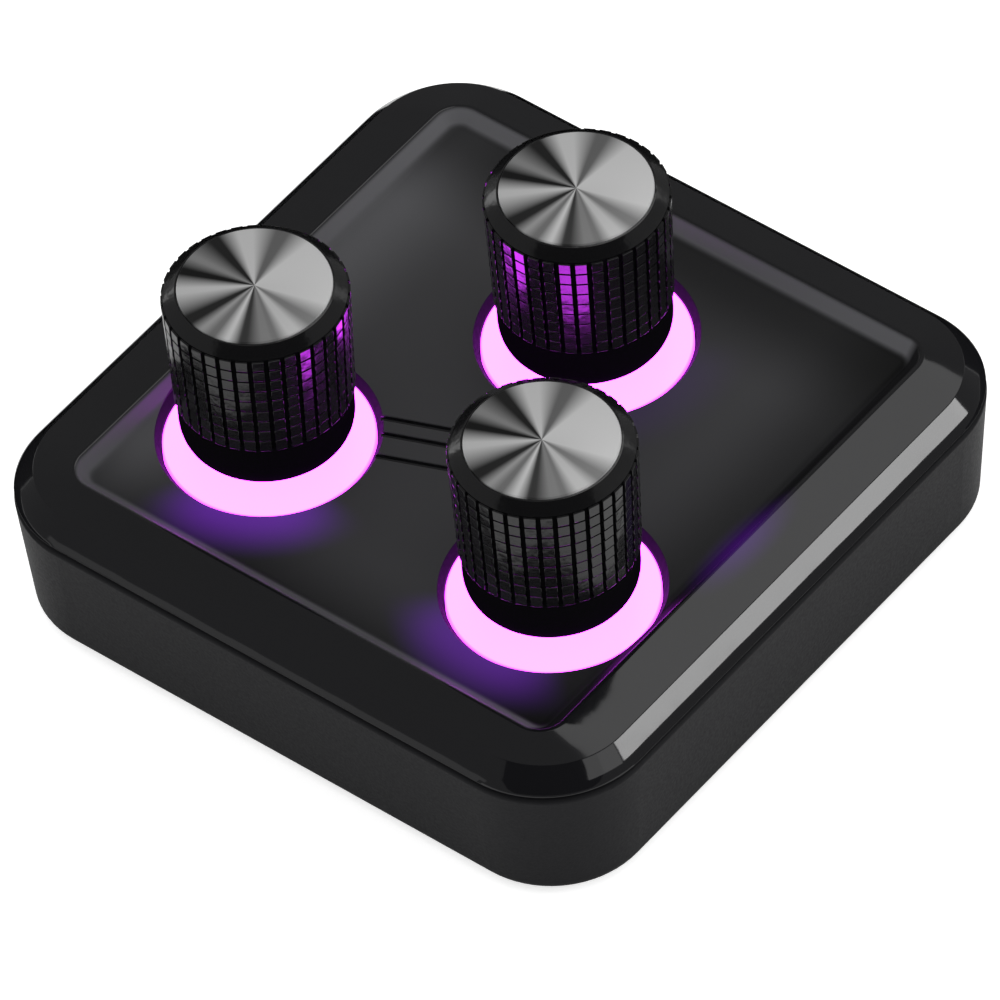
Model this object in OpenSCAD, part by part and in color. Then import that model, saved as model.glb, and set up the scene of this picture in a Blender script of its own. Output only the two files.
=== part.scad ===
// Desk macro pad: a low square case that carries three knurled knobs. Each knob
// turns and pushes on a rotary encoder, and stands on a lit ring in the top cover.
// Millimetres. Z = 0 is the surface the pad stands on, X = Y = 0 is the middle of
// the case and -Y is the side that faces the user. The cable socket is at +Y.

/* [Case] */
// Width of the case along X
case_w = 60; // [58:0.5:80]
// Depth of the case along Y
case_d = 60; // [58:0.5:80]
// Radius of the case's upright corners
corner_r = 9; // [7.5:0.25:11]
// Height of the base shell, from its underside to the seam
base_h = 11.4; // [11.2:0.2:14]
// How far the side wall leans in at its foot
wall_lean = 0.8; // [0.3:0.1:1.1]
// Rounding of the base shell's lower edge
base_edge_r = 0.8; // [0.4:0.1:1.1]
// Thickness of the side wall at the seam
wall_t = 2; // [1.8:0.1:2.3]
// Thickness of the base shell's floor
base_floor_t = 1.5; // [1.3:0.1:1.7]
// Height of the foot pads below the case
foot_h = 0.8; // [0.5:0.1:1.5]
// Diameter of a foot pad
foot_d = 8; // [6:0.5:9]

/* [Top cover] */
// Height of the cover's crest above the seam
cover_h = 2.9; // [2.6:0.1:3.6]
// Width of the sloping rim on the left and right
rim_side = 5.9; // [5:0.1:6]
// Width of the sloping rim at the front and back
rim_front = 5; // [4.4:0.1:6]
// Width of the steep facet along the cover's outer edge
facet_w = 1.7; // [1.2:0.1:2.2]
// How far the facet's top lies below the crest
facet_drop = 0.6; // [0.4:0.1:0.9]
// Depth of the sunk floor below the crest
recess_depth = 1.1; // [0.9:0.05:1.25]
// How far the recess wall leans in over its depth
recess_lean = 1.2; // [0.8:0.1:1.5]
// Corner radius of the recess at the crest
recess_r = 2.2; // [1.6:0.1:4]
// Thickness of the sunk floor
cover_floor_t = 2.2; // [2.05:0.05:2.35]
// Height of the shadow groove at the seam
seam_gap = 0.4; // [0.3:0.05:0.5]
// Depth of the shadow groove at the seam
seam_depth = 0.6; // [0.4:0.1:0.8]
// Width of the three sunk lines between the rings
line_w = 0.45; // [0.3:0.05:0.7]
// Depth of the sunk lines
line_depth = 0.25; // [0.15:0.05:0.35]

/* [Knob layout] */
// Distance of the two front knobs from the middle plane
knob_dx = 14.2; // [13.5:0.1:14.3]
// Distance of the front knobs in front of the centre
knob_front = 11.4; // [10.5:0.1:12]
// Distance of the rear knob behind the centre
knob_back = 11.3; // [10.5:0.1:11.6]
// Outer diameter of a light ring
ring_d = 17; // [16.4:0.1:17.4]
// Depth of a light ring below the sunk floor
ring_sink = 0.65; // [0.5:0.05:0.8]
// Width of the flare round a light ring
ring_flare = 0.4; // [0.2:0.05:0.5]

/* [Knob] */
// Largest diameter of a knob, at its rim
knob_d = 14.9; // [14.3:0.1:15.6]
// Height of a knob
knob_h = 15.75; // [15.3:0.05:17]
// Gap between a knob and its light ring
knob_gap = 1.75; // [1.4:0.05:2]
// Diameter of the aluminium cap disc
cap_d = 12.3; // [11.8:0.1:12.5]
// Thickness of the cap disc
cap_t = 0.9; // [0.7:0.05:1.1]
// Number of upright flutes round a knob
flute_count = 36; // [24:2:40]
// Width of a flute
flute_w = 0.38; // [0.3:0.02:0.46]
// Depth of a flute
flute_depth = 0.3; // [0.2:0.02:0.36]
// Number of pads in each column of the grip
row_count = 9; // [6:1:9]
// Height of one pad with its groove
row_pitch = 1.17; // [1:0.01:1.18]
// Depth of the grooves between the pads
row_depth = 0.2; // [0.12:0.02:0.26]

/* [Encoder] */
// Width of the encoder housing along X
enc_w = 11.7; // [11.4:0.1:12]
// Depth of the encoder housing along Y
enc_d = 12; // [11.6:0.1:12.4]
// Diameter of the turning shaft
shaft_d = 6; // [5.8:0.1:6]
// Length of the shaft above the encoder housing
shaft_len = 15; // [14:0.25:15.25]
// Diameter of the bushing that guides the shaft
bushing_d = 7; // [6.8:0.1:7.4]
// Length of the bushing above the encoder housing
bushing_len = 5; // [4:0.25:5.25]
// How far a knob pushes down
push_travel = 0.5; // [0.3:0.05:0.5]

/* [Electronics and screws] */
// Thickness of the circuit board
board_t = 1.6; // [1.4:0.1:1.7]
// Gap between the circuit board's edge and the case wall
board_gap = 0.5; // [0.4:0.1:1]
// Width of the cable socket
socket_w = 8.94; // [8.6:0.02:9.2]
// Height of the cable socket
socket_h = 3.26; // [3:0.02:3.4]
// Length of the cable socket
socket_len = 7.35; // [6.5:0.05:8]
// Distance of the case screws from the case's side planes
screw_inset = 7.5; // [7.2:0.1:7.8]
// Diameter of a case screw's thread
screw_d = 1.9; // [1.7:0.1:2]
// Length of a case screw below its head
screw_len = 8; // [7:0.5:8]

/* [Hidden] */
$fn = 64;
SIDES = ["left", "right", "back"];
CORNERS = ["front_left", "front_right", "back_left", "back_right"];
SIGNS = [[-1, -1], [1, -1], [-1, 1], [1, 1]];
PER_KNOB = ["light_ring_", "ring_leds_", "encoder_housing_", "encoder_bushing_",
            "encoder_clip_", "encoder_pins_", "detent_spring_", "push_dome_",
            "push_plunger_", "shaft_", "knob_core_", "knob_sleeve_", "knob_cap_"];

// Clearances
run_gap = 0.05;      // between a turning or sliding piece and its guide
fit_gap = 0.05;      // between pieces that are pushed together by hand
loose_gap = 0.2;     // between pieces that only pass each other
stack_gap = 0.3;     // between the encoder and the cover above it
press_gap = 0.02;    // between pieces that are pressed or screwed together
eps = 0.02;          // small overlap that joins shapes of one piece
cut = 1;             // how far a cutting shape runs past the surface that it opens

// Levels of the case, from the feet up
base_z = foot_h;
base_floor_z = base_z + base_floor_t;
seam_z = base_z + base_h;
crest_z = seam_z + cover_h;
floor_z = crest_z - recess_depth;
cover_under_z = floor_z - cover_floor_t;
ring_top_z = floor_z - ring_sink;

// Base shell
base_lip_r = 0.4;
foot_sink = 0.5;
foot_inset = 13.5;
foot_edge = 0.3;
post_r = 2.6;
support_r = 1.8;
boss_r = 2.4;
screw_hole_r = screw_d / 2 + loose_gap;
pilot_r = screw_d / 2 + press_gap;
pilot_roof = 0.6;
head_r = 1.9;
head_h = 1.3;
head_clear = 0.1;
cross_w = 0.4;
cross_len = 2;
cross_depth = 0.6;
socket_slot_gap = 0.3;
socket_setback = 0.2;

// Top cover
lip_t = 1;
lip_drop = 1.3;
lip_gap = 0.15;
plate_inset = 5;
crest_flat = 0.1;
facet_foot_w = 0.4;
facet_foot_h = 0.55;
ring_flange_t = 0.7;
ring_seat_z = ring_top_z - ring_flange_t;
ring_gap = 0.1;
ring_ledge = 0.9;
ring_bore_r = 4.3;
ring_edge = 0.15;
line_angle = 21.4;
line_gap_rear = 1.66;
line_gap_front = 2.36;
hub_y = -3.8;

// Encoder stack, set from the cover downwards so that it always fits under it
clip_t = 0.3;
enc_plate_t = 1.2;
enc_base_t = 4.8;
clip_z = cover_under_z - stack_gap - clip_t;
enc_plate_z = clip_z - enc_plate_t;
board_top_z = enc_plate_z - enc_base_t;
board_z = board_top_z - board_t;
bushing_top_z = clip_z + bushing_len;
shaft_top_z = clip_z + shaft_len;
clip_leg_w = 3.2;
clip_leg_drop = 0.6;
clip_slot_gap = 0.25;
rotor_r = 4.4;
rotor_t = 0.9;
rotor_well_r = rotor_r + loose_gap;
detent_t = 0.2;
detent_w = 1;
rotor_z = enc_plate_z - detent_t - run_gap - rotor_t;
rotor_well_z = rotor_z - push_travel - run_gap;
stub_r = 1.5;
stub_len = 0.75;
plunger_r = 3;
plunger_z = rotor_z - stub_len;
plunger_well_r = plunger_r + loose_gap;
dome_r = 2.7;
dome_flat_h = 0.25;
dome_h = push_travel + dome_flat_h;
dome_sheet = 0.1;
dome_flat_r = 1.4;
housing_floor_t = 1.3;
plunger_well_z = board_top_z + housing_floor_t;
plunger_low_z = plunger_well_z + dome_h;
key_w = 1;
key_r = 3.8;
pin_w = 0.8;
pin_t = 0.3;
pin_reach = 1.15;
pin_drop = 1;
pin_rise = 1.2;
pin_hole_r = 0.55;
PINS = [[-2.5, -1], [0, -1], [2.5, -1], [-2.5, 1], [2.5, 1]];
led_w = 2;
led_h = 0.8;
led_window_r = 0.75;
led_gap = 0.35;
led_x = enc_w / 2 + led_gap + led_w / 2;
led_y = 3.2;
flat_depth = 1.5;
flat_len = 7;
shaft_edge = 0.5;

// Knob levels and radii
knob_z = ring_top_z + knob_gap;
knob_top_z = knob_z + knob_h;
cap_z = knob_top_z - cap_t;
rim_h = 0.9;
cap_stand = 0.1;
rim_z = knob_top_z - rim_h;
rim_top_z = knob_top_z - cap_stand;
rim_r = knob_d / 2;
grip_taper = 0.3;
skirt_step = 0.15;
grip_z = rim_z - row_count * row_pitch;
skirt_r = rim_r - grip_taper - skirt_step;
foot_round_h = 1.6;
foot_round_w = 0.8;
cap_seat_r = cap_d / 2 + fit_gap;
cap_ledge = 0.4;
sleeve_bore_r = cap_seat_r - cap_ledge;
row_groove_w = 0.3;
core_r = sleeve_bore_r - press_gap;
core_wall = 0.9;
core_lift = 0.9;
hub_r = 4.3;
hub_z = bushing_top_z + push_travel + stack_gap;
core_bore_r = shaft_d / 2 + press_gap;
core_web_gap = 0.8;
core_web_z = shaft_top_z + core_web_gap;
core_rib_w = 0.9;
rib_root = 0.5;

// Electronics
chip_w = 6.5;
chip_d = 4.4;
chip_h = 1.1;
chip_y = -12;
chip_legs = 10;
chip_leg_pitch = 0.65;
chip_leg_w = 0.25;
chip_leg_reach = 1;
chip_leg_t = 0.15;
board_r = corner_r - wall_t - board_gap;
socket_wall = 0.3;
socket_r = 1.2;
tongue_w = 6.7;
tongue_t = 0.7;
tongue_len = 4.6;
tongue_block = 1.6;

KNOBS = [[-knob_dx, -knob_front], [knob_dx, -knob_front], [0, knob_back]];

// ---- Shapes that repeat ----

// Rectangle with true round corners
module round_rect(w, d, r) {
    square([w - 2 * r, d], center = true);
    square([w, d - 2 * r], center = true);
    for (s = SIGNS)
        translate([s.x * (w / 2 - r), s.y * (d / 2 - r)]) circle(r);
}

// Upright plate that follows the case's outline, drawn in from it by inset
module case_plate(inset, z0, z1) {
    translate([0, 0, z0])
        linear_extrude(z1 - z0)
            round_rect(case_w - 2 * inset, case_d - 2 * inset, corner_r - inset);
}

// Frame between two case outlines
module case_frame(outer, inner, z0, z1) {
    difference() {
        case_plate(outer, z0, z1);
        case_plate(inner, z0 - cut, z1 + cut);
    }
}

// Solid whose edge section is the child profile, carried round the case's outline.
// The profile's x starts at the corner's centre, and its y is the height.
module swept_case(h) {
    cx = case_w / 2 - corner_r;
    cy = case_d / 2 - corner_r;
    turns = [180, 270, 90, 0];
    for (q = [0:3])
        translate([SIGNS[q].x * cx, SIGNS[q].y * cy, 0])
            rotate([0, 0, turns[q]]) rotate_extrude(angle = 90) children();
    for (m = [0, 1]) {
        mirror([m, 0, 0]) translate([cx, 0, 0])
            rotate([90, 0, 0]) linear_extrude(2 * cy, center = true) children();
        mirror([0, m, 0]) translate([0, cy, 0])
            rotate([90, 0, 90]) linear_extrude(2 * cx, center = true) children();
    }
    translate([-cx, -cy, 0]) cube([2 * cx, 2 * cy, h]);
}

module at_knob(i) {
    translate([KNOBS[i].x, KNOBS[i].y, 0]) children();
}

module at_screws() {
    for (s = SIGNS)
        translate([s.x * (case_w / 2 - screw_inset), s.y * (case_d / 2 - screw_inset), 0])
            children();
}

function unit(v) = v / norm(v);

// Half the width of a line through the points p, square to it, with a mitre at a bend
function half_width(p, i) =
    let (last = len(p) - 1,
         before = unit(p[max(i, 1)] - p[max(i, 1) - 1]),
         after = unit(p[min(i, last - 1) + 1] - p[min(i, last - 1)]),
         n = unit([-before.y - after.y, before.x + after.x]))
    n * line_w / 2 / (n * [-before.y, before.x]);

// Outline of a line of even width through the points p
module line(p) {
    last = len(p) - 1;
    polygon(concat([for (i = [0:last]) p[i] + half_width(p, i)],
                   [for (i = [last:-1:0]) p[i] - half_width(p, i)]));
}

// Where a line through p along u leaves a circle of radius r round c
function ring_exit(c, p, u, r) =
    let (n = [-u.y, u.x], off = (p - c) * n)
    c + n * off + u * sqrt(r * r - off * off);

// ---- Case ----

// Edge section of the base shell: leaning wall between a lower and an upper rounding
module base_profile() {
    low = [corner_r - wall_lean - base_edge_r, base_edge_r];
    high = [corner_r - base_lip_r, base_h - base_lip_r];
    span = high - low;
    turn = atan2(span.y, span.x) - acos((base_edge_r - base_lip_r) / norm(span));
    n = [cos(turn), sin(turn)];
    polygon([[0, 0], [low.x, 0], low + base_edge_r * n, high + base_lip_r * n,
             [high.x, base_h], [0, base_h]]);
    translate(low) circle(base_edge_r);
    translate(high) circle(base_lip_r);
}

module base_shell() color([0.035, 0.035, 0.04]) {
    socket_mid_z = board_top_z + socket_h / 2;
    difference() {
        union() {
            difference() {
                translate([0, 0, base_z]) swept_case(base_h) base_profile();
                case_plate(wall_t, base_floor_z, seam_z + cut);
            }
            at_screws()
                translate([0, 0, base_floor_z - eps])
                    cylinder(h = board_z - base_floor_z + eps, r = post_r);
            for (i = [0:2]) at_knob(i)
                translate([0, 0, base_floor_z - eps])
                    cylinder(h = board_z - base_floor_z + eps, r = support_r);
        }
        at_screws() {
            cylinder(h = board_z + cut, r = screw_hole_r);
            cylinder(h = base_z + head_h + head_clear, r = head_r + loose_gap);
        }
        for (s = SIGNS)
            translate([s.x * (case_w / 2 - foot_inset), s.y * (case_d / 2 - foot_inset), 0])
                cylinder(h = base_z + foot_sink, r = foot_d / 2 + fit_gap);
        translate([0, case_d / 2 - wall_t - cut, socket_mid_z])
            rotate([-90, 0, 0]) linear_extrude(wall_t + 2 * cut)
                round_rect(socket_w + 2 * socket_slot_gap, socket_h + 2 * socket_slot_gap,
                           socket_r + socket_slot_gap);
    }
}

// Outline of the crest, drawn in by inset
module crest_outline(inset, r) {
    round_rect(case_w - 2 * (rim_side + inset), case_d - 2 * (rim_front + inset), r);
}

// Outside of the cover: steep facet, gently sloping rim and crest in one skin
module cover_skin() {
    edge_z = seam_z + seam_gap;
    steps = [[0, edge_z], [facet_foot_w, edge_z + facet_foot_h], [facet_w, crest_z - facet_drop]];
    hull() {
        for (s = steps) case_plate(s.x, s.y, s.y + eps);
        translate([0, 0, crest_z - eps]) linear_extrude(eps)
            crest_outline(0, recess_r + crest_flat);
    }
}

// Hollow that the sunk floor lies in
module recess() {
    hull() {
        translate([0, 0, crest_z]) linear_extrude(cut) crest_outline(crest_flat, recess_r);
        translate([0, 0, floor_z]) linear_extrude(eps)
            crest_outline(crest_flat + recess_lean, recess_r - recess_lean);
    }
}

// Opening for a light ring: a bore, a ledge for its flange and a flare up to the floor
module ring_opening() {
    seat_r = ring_d / 2 + ring_gap;
    bore_r = seat_r - ring_ledge;
    rotate_extrude()
        polygon([[0, cover_under_z - cut], [bore_r, cover_under_z - cut], [bore_r, ring_seat_z],
                 [seat_r, ring_seat_z], [seat_r, ring_top_z], [seat_r + ring_flare, floor_z],
                 [seat_r + ring_flare, crest_z + cut], [0, crest_z + cut]]);
}

// Three sunk lines from each ring to the hub between the knobs
module floor_lines() {
    u = [cos(line_angle), sin(line_angle)];
    n = [-u.y, u.x];
    to_back = [0, -1];
    hub = [0, hub_y];
    reach = ring_d / 2 - ring_gap;
    rear = hub + n * line_gap_rear;
    rear_bend = rear - u * ((line_gap_rear + rear.x) / u.x);
    front = hub - n * line_gap_front;
    front_bend = front - u * (front.x / u.x);
    left_end = ring_exit(KNOBS[0], hub, u, reach);
    front_end = ring_exit(KNOBS[0], front, u, reach);
    translate([0, 0, floor_z - line_depth]) linear_extrude(line_depth + cut) {
        for (m = [0, 1]) mirror([m, 0])
            line([ring_exit(KNOBS[0], rear, u, reach), rear_bend,
                  ring_exit(KNOBS[2], rear_bend, to_back, reach)]);
        line([left_end, hub, [-left_end.x, left_end.y]]);
        line([hub, ring_exit(KNOBS[2], hub, to_back, reach)]);
        line([front_end, front_bend, [-front_end.x, front_end.y]]);
    }
}

module top_cover() color([0.03, 0.03, 0.035]) {
    lip_outer = wall_t + lip_gap;
    difference() {
        union() {
            difference() {
                cover_skin();
                recess();
            }
            case_frame(seam_depth, lip_outer + lip_t, seam_z, seam_z + seam_gap + eps);
            case_frame(lip_outer, lip_outer + lip_t, seam_z - lip_drop, seam_z + eps);
            case_plate(plate_inset, cover_under_z, seam_z + seam_gap + eps);
            at_screws()
                translate([0, 0, board_top_z])
                    cylinder(h = cover_under_z - board_top_z + eps, r = boss_r);
        }
        at_screws()
            translate([0, 0, board_top_z - cut])
                cylinder(h = cover_under_z - board_top_z + cut - pilot_roof, r = pilot_r);
        for (i = [0:2]) at_knob(i) ring_opening();
        floor_lines();
    }
}

module foot(c) color([0.06, 0.06, 0.06]) {
    translate([SIGNS[c].x * (case_w / 2 - foot_inset), SIGNS[c].y * (case_d / 2 - foot_inset), 0])
        rotate_extrude()
            polygon([[0, 0], [foot_d / 2 - foot_edge, 0], [foot_d / 2, foot_edge],
                     [foot_d / 2, foot_h + foot_sink], [0, foot_h + foot_sink]]);
}

module case_screws() color("silver") {
    head_z = base_z + head_clear;
    at_screws() difference() {
        union() {
            translate([0, 0, head_z]) cylinder(h = head_h, r = head_r);
            translate([0, 0, head_z + head_h - eps])
                cylinder(h = screw_len + eps, r = screw_d / 2);
        }
        for (a = [0, 90]) rotate([0, 0, a])
            translate([-cross_len / 2, -cross_w / 2, head_z - cut])
                cube([cross_len, cross_w, cross_depth + cut]);
    }
}

// ---- Electronics ----

module circuit_board() color([0.05, 0.2, 0.12]) {
    w = case_w - 2 * (wall_t + board_gap);
    d = case_d - 2 * (wall_t + board_gap);
    difference() {
        translate([0, 0, board_z]) linear_extrude(board_t) round_rect(w, d, board_r);
        at_screws()
            translate([0, 0, board_z - cut]) cylinder(h = board_t + 2 * cut, r = screw_hole_r);
        for (i = [0:2]) at_knob(i) {
            for (p = PINS)
                translate([p.x, p.y * (enc_d / 2 + pin_reach - pin_t / 2), board_z - cut])
                    cylinder(h = board_t + 2 * cut, r = pin_hole_r);
            for (m = [0, 1]) mirror([m, 0, 0])
                translate([enc_w / 2 + fit_gap - clip_slot_gap, -clip_leg_w / 2 - clip_slot_gap,
                           board_z - cut])
                    cube([clip_t + 2 * clip_slot_gap, clip_leg_w + 2 * clip_slot_gap,
                          board_t + 2 * cut]);
        }
    }
}

module controller_chip() color([0.08, 0.08, 0.08]) {
    foot_rise = 0.1;
    translate([0, chip_y, board_top_z]) {
        translate([-chip_w / 2, -chip_d / 2, foot_rise])
            cube([chip_w, chip_d, chip_h - foot_rise]);
        for (k = [0:chip_legs - 1], s = [-1, 1])
            translate([(k - (chip_legs - 1) / 2) * chip_leg_pitch - chip_leg_w / 2,
                       s * chip_d / 2 - (s < 0 ? chip_leg_reach : 0), 0]) {
                cube([chip_leg_w, chip_leg_reach, chip_leg_t]);
                translate([0, s < 0 ? chip_leg_reach - chip_leg_t : 0, 0])
                    cube([chip_leg_w, chip_leg_t, chip_h / 2]);
            }
    }
}

// The socket's mouth looks out through the back wall
module in_socket() {
    translate([0, case_d / 2 - wall_lean - socket_setback, board_top_z + socket_h / 2])
        rotate([90, 0, 0]) children();
}

module socket_shell() color("silver") {
    in_socket() difference() {
        linear_extrude(socket_len) round_rect(socket_w, socket_h, socket_r);
        translate([0, 0, -cut]) linear_extrude(socket_len + cut - socket_wall)
            round_rect(socket_w - 2 * socket_wall, socket_h - 2 * socket_wall,
                       socket_r - socket_wall);
    }
}

module socket_tongue() color([0.12, 0.12, 0.12]) {
    back = socket_len - socket_wall;
    in_socket() {
        translate([-tongue_w / 2, -tongue_t / 2, back - tongue_block - tongue_len])
            cube([tongue_w, tongue_t, tongue_len + eps]);
        translate([0, 0, back - tongue_block]) linear_extrude(tongue_block)
            round_rect(socket_w - 2 * (socket_wall + fit_gap),
                       socket_h - 2 * (socket_wall + fit_gap), socket_r - socket_wall - fit_gap);
    }
}

module ring_leds(i) color([0.95, 0.92, 0.9]) {
    at_knob(i) for (s = SIGNS)
        translate([s.x * led_x, s.y * led_y, board_top_z]) difference() {
            translate([-led_w / 2, -led_w / 2, 0]) cube([led_w, led_w, led_h]);
            translate([0, 0, led_h / 2]) cylinder(h = led_h, r = led_window_r);
        }
}

// ---- Light ring: a flanged diffuser dropped into its seat in the sunk floor ----

module light_ring(i) color([1, 0.75, 1]) {
    neck_r = ring_d / 2 - ring_ledge;
    at_knob(i) rotate_extrude()
        polygon([[ring_bore_r, cover_under_z], [neck_r, cover_under_z], [neck_r, ring_seat_z],
                 [ring_d / 2, ring_seat_z], [ring_d / 2, ring_top_z - ring_edge],
                 [ring_d / 2 - ring_edge, ring_top_z], [ring_bore_r, ring_top_z]]);
}

// ---- Encoder ----

module encoder_housing(i) color([0.1, 0.1, 0.1]) {
    at_knob(i) difference() {
        translate([-enc_w / 2, -enc_d / 2, board_top_z]) cube([enc_w, enc_d, enc_base_t]);
        translate([0, 0, rotor_well_z]) cylinder(h = enc_base_t, r = rotor_well_r);
        translate([0, 0, plunger_well_z]) cylinder(h = enc_base_t, r = plunger_well_r);
        translate([-key_r - loose_gap, -key_w / 2 - loose_gap, plunger_well_z])
            cube([2 * (key_r + loose_gap), key_w + 2 * loose_gap, enc_base_t]);
    }
}

module encoder_bushing(i) color([0.62, 0.62, 0.64]) {
    at_knob(i) difference() {
        union() {
            translate([-enc_w / 2, -enc_d / 2, enc_plate_z]) cube([enc_w, enc_d, enc_plate_t]);
            translate([0, 0, clip_z - eps]) cylinder(h = bushing_len + eps, r = bushing_d / 2);
        }
        translate([0, 0, enc_plate_z - cut])
            cylinder(h = enc_plate_t + bushing_len + 2 * cut, r = shaft_d / 2 + run_gap);
    }
}

// Steel bracket that holds the housing and the bushing plate to the board
module encoder_clip(i) color([0.75, 0.75, 0.76]) {
    leg_x = enc_w / 2 + fit_gap;
    leg_low_z = board_z - clip_leg_drop;
    at_knob(i) {
        difference() {
            translate([-leg_x - clip_t, -enc_d / 2, clip_z])
                cube([2 * (leg_x + clip_t), enc_d, clip_t]);
            translate([0, 0, clip_z - cut])
                cylinder(h = clip_t + 2 * cut, r = bushing_d / 2 + fit_gap);
        }
        for (m = [0, 1]) mirror([m, 0, 0])
            translate([leg_x, -clip_leg_w / 2, leg_low_z])
                cube([clip_t, clip_leg_w, clip_z + clip_t - leg_low_z]);
    }
}

// Five bent terminals, three at the front and two at the back
module encoder_pins(i) color([0.8, 0.78, 0.7]) {
    low_z = board_z - pin_drop;
    high_z = board_top_z + pin_rise;
    at_knob(i) for (p = PINS)
        mirror([0, p.y < 0 ? 1 : 0, 0]) translate([p.x - pin_w / 2, enc_d / 2, 0]) {
            translate([0, 0, high_z - pin_t]) cube([pin_w, pin_reach, pin_t]);
            translate([0, pin_reach - pin_t, low_z]) cube([pin_w, pin_t, high_z - low_z]);
        }
}

// Flat ring under the bushing plate that the rotor clicks against
module detent_spring(i) color([0.8, 0.8, 0.78]) {
    at_knob(i) translate([0, 0, enc_plate_z - detent_t]) difference() {
        cylinder(h = detent_t, r = rotor_r);
        translate([0, 0, -cut]) cylinder(h = detent_t + 2 * cut, r = rotor_r - detent_w);
    }
}

// Snap dome of the push switch, which carries the plunger
module push_dome(i) color([0.8, 0.8, 0.78]) {
    at_knob(i) translate([0, 0, plunger_well_z]) rotate_extrude()
        polygon([[0, dome_h - dome_sheet], [dome_flat_r - dome_sheet / 2, dome_h - dome_sheet],
                 [dome_r - dome_sheet, 0], [dome_r, 0], [dome_r, dome_sheet],
                 [dome_flat_r, dome_h], [0, dome_h]]);
}

// Keyed slider under the shaft: it goes down with the knob but doesn't turn
module push_plunger(i) color([0.85, 0.85, 0.82]) {
    h = plunger_z - plunger_low_z;
    at_knob(i) translate([0, 0, plunger_low_z]) {
        cylinder(h = h, r = plunger_r);
        translate([-key_r, -key_w / 2, 0]) cube([2 * key_r, key_w, h]);
    }
}

module shaft(i) color([0.7, 0.7, 0.72]) {
    flat_z = shaft_top_z - flat_len;
    at_knob(i) difference() {
        rotate_extrude()
            polygon([[0, plunger_z], [stub_r, plunger_z], [stub_r, rotor_z], [rotor_r, rotor_z],
                     [rotor_r, rotor_z + rotor_t], [shaft_d / 2, rotor_z + rotor_t],
                     [shaft_d / 2, shaft_top_z - shaft_edge],
                     [shaft_d / 2 - shaft_edge, shaft_top_z], [0, shaft_top_z]]);
        translate([shaft_d / 2 - flat_depth, -shaft_d, flat_z])
            cube([shaft_d, 2 * shaft_d, flat_len + cut]);
    }
}

// ---- Knob ----

// Moulded insert with the D-shaped bore, four ribs and an outer wall
module knob_core(i) color([0.07, 0.07, 0.075]) {
    wall_z = knob_z + core_lift;
    flat_x = shaft_d / 2 - flat_depth + press_gap;
    flat_z = shaft_top_z - flat_len + loose_gap;
    at_knob(i) difference() {
        union() {
            translate([0, 0, core_web_z]) cylinder(h = cap_z - core_web_z, r = core_r);
            difference() {
                translate([0, 0, wall_z]) cylinder(h = cap_z - wall_z, r = core_r);
                translate([0, 0, wall_z - cut])
                    cylinder(h = core_web_z - wall_z + cut, r = core_r - core_wall);
            }
            translate([0, 0, hub_z]) cylinder(h = cap_z - hub_z, r = hub_r);
            for (a = [0:90:270]) rotate([0, 0, a + 45])
                translate([hub_r - rib_root, -core_rib_w / 2, hub_z])
                    cube([core_r - core_wall - hub_r + 2 * rib_root, core_rib_w,
                          core_web_z - hub_z + eps]);
        }
        difference() {
            translate([0, 0, hub_z - cut])
                cylinder(h = shaft_top_z + loose_gap - hub_z + cut, r = core_bore_r);
            translate([flat_x, -shaft_d, flat_z]) cube([shaft_d, 2 * shaft_d, shaft_len]);
        }
    }
}

function grip_r(z) = rim_r - grip_taper * (rim_z - z) / (rim_z - grip_z);

// Knurled sleeve: grooves turned round a taper, then upright flutes cut across them
module knob_sleeve(i) color([0.04, 0.04, 0.045]) {
    foot_arc = [for (a = [0:15:90])
        [skirt_r - foot_round_w * (1 - sin(a)), knob_z + foot_round_h * (1 - cos(a))]];
    rows = [for (k = [row_count:-1:1])
        let (z = rim_z - k * row_pitch + row_groove_w / 2)
        each [[grip_r(z), z - row_groove_w / 2], [grip_r(z) - row_depth, z],
              [grip_r(z), z + row_groove_w / 2]]];
    root_r = rim_r - flute_depth;
    flute_len = rim_z - grip_z;
    at_knob(i) difference() {
        rotate_extrude()
            polygon(concat(
                [[sleeve_bore_r, knob_z]], foot_arc, [[skirt_r, grip_z]], rows,
                [[rim_r, rim_z], [cap_seat_r, rim_top_z], [cap_seat_r, cap_z],
                 [sleeve_bore_r, cap_z]]));
        for (k = [0:flute_count - 1]) rotate([0, 0, (k + 0.5) * 360 / flute_count])
            translate([root_r, 0, rim_z]) rotate([0, atan(grip_taper / flute_len), 0])
                translate([0, -flute_w / 2, -flute_len])
                    cube([flute_depth + cut, flute_w, flute_len + cut]);
    }
}

// Turned aluminium disc set into the top of the sleeve
module knob_cap(i) color([0.75, 0.75, 0.76]) {
    cap_edge = 0.12;
    at_knob(i) rotate_extrude()
        polygon([[0, cap_z], [cap_d / 2, cap_z], [cap_d / 2, knob_top_z - cap_edge],
                 [cap_d / 2 - cap_edge, knob_top_z], [0, knob_top_z]]);
}

// ---- Nodes ----

base_shell();
top_cover();
circuit_board();
controller_chip();
socket_shell();
socket_tongue();
case_screws();
for (c = [0:3]) foot(c);
for (i = [0:2]) {
    light_ring(i);
    ring_leds(i);
    encoder_housing(i);
    encoder_bushing(i);
    encoder_clip(i);
    encoder_pins(i);
    detent_spring(i);
    push_dome(i);
    push_plunger(i);
    shaft(i);
    knob_core(i);
    knob_sleeve(i);
    knob_cap(i);
}
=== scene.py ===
"""Dresses the desk pad: finishes for its solids, and finer cover, rings and knobs.

Lengths are in millimetres and angles in degrees, where nothing else is said.
"""
import logging
import math
from dataclasses import dataclass, field
from enum import Enum
from functools import cached_property

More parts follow.
